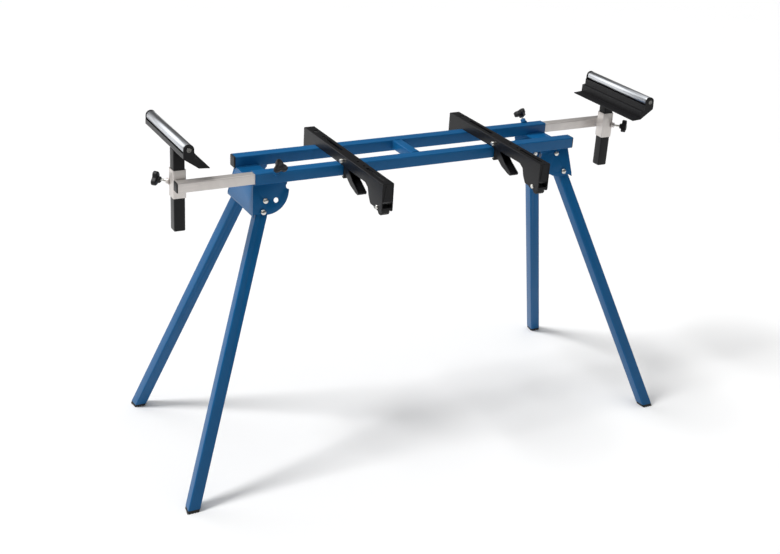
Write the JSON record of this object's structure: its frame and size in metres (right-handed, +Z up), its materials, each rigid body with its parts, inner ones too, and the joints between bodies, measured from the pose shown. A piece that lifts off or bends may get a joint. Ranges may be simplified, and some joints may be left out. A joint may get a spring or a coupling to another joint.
{
  "type": "mitre saw stand",
  "caption": "Folding work stand: two rails on splayed folding legs, clamp-on tool bars and sliding roller supports that set to height.",
  "frame": {"origin": "on the floor, below the middle of the overall box", "axes": "+X along the rails to the user's right, +Y from the user's side to the back, +Z up"},
  "size_m": [1.423, 0.5916, 0.8941],
  "materials": {
    "blue_paint": "satin powder coat",
    "black_paint": "satin black powder coat",
    "grey_steel": "plain drawn steel tube, dull zinc",
    "zinc_steel": "bright zinc plate",
    "roller_chrome": "polished roller tube",
    "black_plastic": "moulded, fine grain",
    "foot_rubber": "matt"
  },
  "bodies": {
    "frame": {"rail_front": "blue_paint", "rail_rear": "blue_paint", "rail_cap_front": "black_plastic", "rail_cap_rear": "black_plastic", "cross_member": "blue_paint", "bracket_left": "blue_paint", "bracket_right": "blue_paint", "lock_boss_left": "blue_paint", "lock_boss_right": "blue_paint", "pivot_bolt_front_left": "zinc_steel", "pivot_bolt_front_right": "zinc_steel", "pivot_bolt_rear_left": "zinc_steel", "pivot_bolt_rear_right": "zinc_steel"},
    "front_left_leg": {"leg_front_left": "blue_paint", "foot_front_left": "foot_rubber"},
    "front_right_leg": {"leg_front_right": "blue_paint", "foot_front_right": "foot_rubber"},
    "rear_left_leg": {"leg_rear_left": "blue_paint", "foot_rear_left": "foot_rubber"},
    "rear_right_leg": {"leg_rear_right": "blue_paint", "foot_rear_right": "foot_rubber"},
    "front_left_button": {"lock_button_front_left": "zinc_steel"},
    "front_right_button": {"lock_button_front_right": "zinc_steel"},
    "rear_left_button": {"lock_button_rear_left": "zinc_steel"},
    "rear_right_button": {"lock_button_rear_right": "zinc_steel"},
    "left_extension": {"extension_left": "grey_steel", "extension_cap_left": "black_plastic", "sleeve_left": "grey_steel"},
    "right_extension": {"extension_right": "grey_steel", "extension_cap_right": "black_plastic", "sleeve_right": "grey_steel"},
    "left_lock": {"lock_knob_left": "black_plastic", "lock_screw_left": "zinc_steel"},
    "right_lock": {"lock_knob_right": "black_plastic", "lock_screw_right": "zinc_steel"},
    "left_height_clamp": {"height_knob_left": "black_plastic", "height_screw_left": "zinc_steel"},
    "right_height_clamp": {"height_knob_right": "black_plastic", "height_screw_right": "zinc_steel"},
    "left_post": {"post_left": "black_paint", "cradle_left": "black_paint", "axle_left": "zinc_steel"},
    "right_post": {"post_right": "black_paint", "cradle_right": "black_paint", "axle_right": "zinc_steel"},
    "left_roller": {"roller_left": "roller_chrome"},
    "right_roller": {"roller_right": "roller_chrome"},
    "left_bar": {"tool_bar_left": "black_paint", "clamp_pin_left": "zinc_steel", "bar_foot_pin_left": "zinc_steel", "bar_foot_left": "foot_rubber"},
    "right_bar": {"tool_bar_right": "black_paint", "clamp_pin_right": "zinc_steel", "bar_foot_pin_right": "zinc_steel", "bar_foot_right": "foot_rubber"},
    "left_lever": {"clamp_lever_left": "black_paint"},
    "right_lever": {"clamp_lever_right": "black_paint"},
    "left_jaw": {"clamp_jaw_left": "black_paint"},
    "right_jaw": {"clamp_jaw_right": "black_paint"}
  },
  "joints": [
    {"name": "front_left_fold", "type": "hinge", "parent": "frame", "child": "front_left_leg", "pos_m": [-0.43393, -0.05118, 0.70278], "axis": [0, -0.9573, 0.289], "range_deg": [0, 107.57]},
    {"name": "front_right_fold", "type": "hinge", "parent": "frame", "child": "front_right_leg", "pos_m": [0.42327, -0.0425, 0.7315], "axis": [0, 0.9573, -0.289], "range_deg": [0, 109.57]},
    {"name": "rear_left_fold", "type": "hinge", "parent": "frame", "child": "rear_left_leg", "pos_m": [-0.42238, 0.05984, 0.7315], "axis": [0, -0.9573, -0.289], "range_deg": [0, 107.4]},
    {"name": "rear_right_fold", "type": "hinge", "parent": "frame", "child": "rear_right_leg", "pos_m": [0.43178, 0.06851, 0.70278], "axis": [0, 0.9573, 0.289], "range_deg": [0, 105.4]},
    {"name": "front_left_lock", "type": "slide", "parent": "frame", "child": "front_left_button", "axis": [0, 0.9573, -0.289], "range_m": [0, 0.003]},
    {"name": "front_right_lock", "type": "slide", "parent": "frame", "child": "front_right_button", "axis": [0, 0.9573, -0.289], "range_m": [0, 0.003]},
    {"name": "rear_left_lock", "type": "slide", "parent": "frame", "child": "rear_left_button", "axis": [0, -0.9573, -0.289], "range_m": [0, 0.003]},
    {"name": "rear_right_lock", "type": "slide", "parent": "frame", "child": "rear_right_button", "axis": [0, -0.9573, -0.289], "range_m": [0, 0.003]},
    {"name": "left_extend", "type": "slide", "parent": "frame", "child": "left_extension", "axis": [-1, 0, 0], "range_m": [-0.15, 0.25]},
    {"name": "right_extend", "type": "slide", "parent": "frame", "child": "right_extension", "axis": [1, 0, 0], "range_m": [-0.15, 0.25]},
    {"name": "left_height", "type": "slide", "parent": "left_extension", "child": "left_post", "axis": [0, 0, 1], "range_m": [-0.025, 0.07]},
    {"name": "right_height", "type": "slide", "parent": "right_extension", "child": "right_post", "axis": [0, 0, 1], "range_m": [-0.025, 0.07]},
    {"name": "left_roll", "type": "hinge", "parent": "left_post", "child": "left_roller", "pos_m": [-0.65, 0.00867, 0.8811], "axis": [0, 1, 0], "continuous": true},
    {"name": "right_roll", "type": "hinge", "parent": "right_post", "child": "right_roller", "pos_m": [0.663, 0.00867, 0.8811], "axis": [0, 1, 0], "continuous": true},
    {"name": "left_lock_turn", "type": "hinge", "parent": "frame", "child": "left_lock", "pos_m": [-0.408, -0.05713, 0.7666], "axis": [0, -0.7071, 0.7071], "range_deg": [0, 360]},
    {"name": "right_lock_turn", "type": "hinge", "parent": "frame", "child": "right_lock", "pos_m": [0.408, 0.07447, 0.7666], "axis": [0, 0.7071, 0.7071], "range_deg": [0, 360]},
    {"name": "left_height_turn", "type": "hinge", "parent": "left_extension", "child": "left_height_clamp", "pos_m": [-0.643, -0.02808, 0.7666], "axis": [-0.7071, 0.7071, 0], "range_deg": [0, 360]},
    {"name": "right_height_turn", "type": "hinge", "parent": "right_extension", "child": "right_height_clamp", "pos_m": [0.656, 0.04542, 0.7666], "axis": [0.7071, -0.7071, 0], "range_deg": [0, 360]},
    {"name": "left_bar_slide", "type": "slide", "parent": "frame", "child": "left_bar", "axis": [1, 0, 0], "range_m": [-0.14, 0.16]},
    {"name": "right_bar_slide", "type": "slide", "parent": "frame", "child": "right_bar", "axis": [1, 0, 0], "range_m": [-0.16, 0.14]},
    {"name": "left_lever_pull", "type": "hinge", "parent": "left_bar", "child": "left_lever", "pos_m": [-0.22, -0.07933, 0.7936], "axis": [-1, 0, 0], "range_deg": [0, 32]},
    {"name": "right_lever_pull", "type": "hinge", "parent": "right_bar", "child": "right_lever", "pos_m": [0.22, -0.07933, 0.7936], "axis": [-1, 0, 0], "range_deg": [0, 32]},
    {"name": "left_jaw_swing", "type": "hinge", "parent": "left_bar", "child": "left_jaw", "pos_m": [-0.22, -0.07933, 0.7936], "axis": [-1, 0, 0], "range_deg": [0, 9.6]},
    {"name": "right_jaw_swing", "type": "hinge", "parent": "right_bar", "child": "right_jaw", "pos_m": [0.22, -0.07933, 0.7936], "axis": [-1, 0, 0], "range_deg": [0, 9.6]}
  ],
  "couplings": [
    {"joint": "left_jaw_swing", "follows": "left_lever_pull", "ratio": 0.3},
    {"joint": "right_jaw_swing", "follows": "right_lever_pull", "ratio": 0.3}
  ]
}
